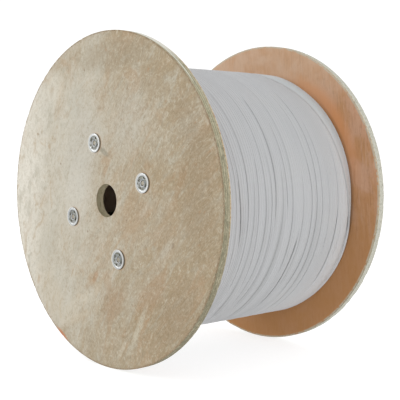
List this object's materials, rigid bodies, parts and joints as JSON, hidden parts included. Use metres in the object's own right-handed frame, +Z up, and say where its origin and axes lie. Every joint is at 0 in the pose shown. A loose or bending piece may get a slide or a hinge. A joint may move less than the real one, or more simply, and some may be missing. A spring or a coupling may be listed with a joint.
{
  "type": "cable reel",
  "caption": "Plywood reel standing on two round flanges, with a central arbor hole, tie rods in pressed tee nuts and a barrel wound full of smooth cable.",
  "frame": {"origin": "on the reel's axis, midway between the two flanges", "axes": "+Z up, the reel's axis along Y with the front flange on the -Y side, +X to the right seen from the front"},
  "size_m": [0.4999, 0.3555, 0.5],
  "materials": {
    "plywood": "sawn veneer, bare",
    "board": "wound paper board",
    "zinc": "zinc plated",
    "cable": "smooth satin jacket"
  },
  "bodies": {
    "root": {"front_flange": "plywood", "back_flange": "plywood", "barrel": "board", "cable_inner_layers": "cable", "cable_outer_layer": "cable", "tee_nut_1": "zinc", "tee_nut_2": "zinc", "tee_nut_3": "zinc", "tee_nut_4": "zinc", "tie_rod_1": "zinc", "tie_rod_2": "zinc", "tie_rod_3": "zinc", "tie_rod_4": "zinc", "washer_1": "zinc", "washer_2": "zinc", "washer_3": "zinc", "washer_4": "zinc", "hex_nut_1": "zinc", "hex_nut_2": "zinc", "hex_nut_3": "zinc", "hex_nut_4": "zinc"}
  },
  "joints": []
}
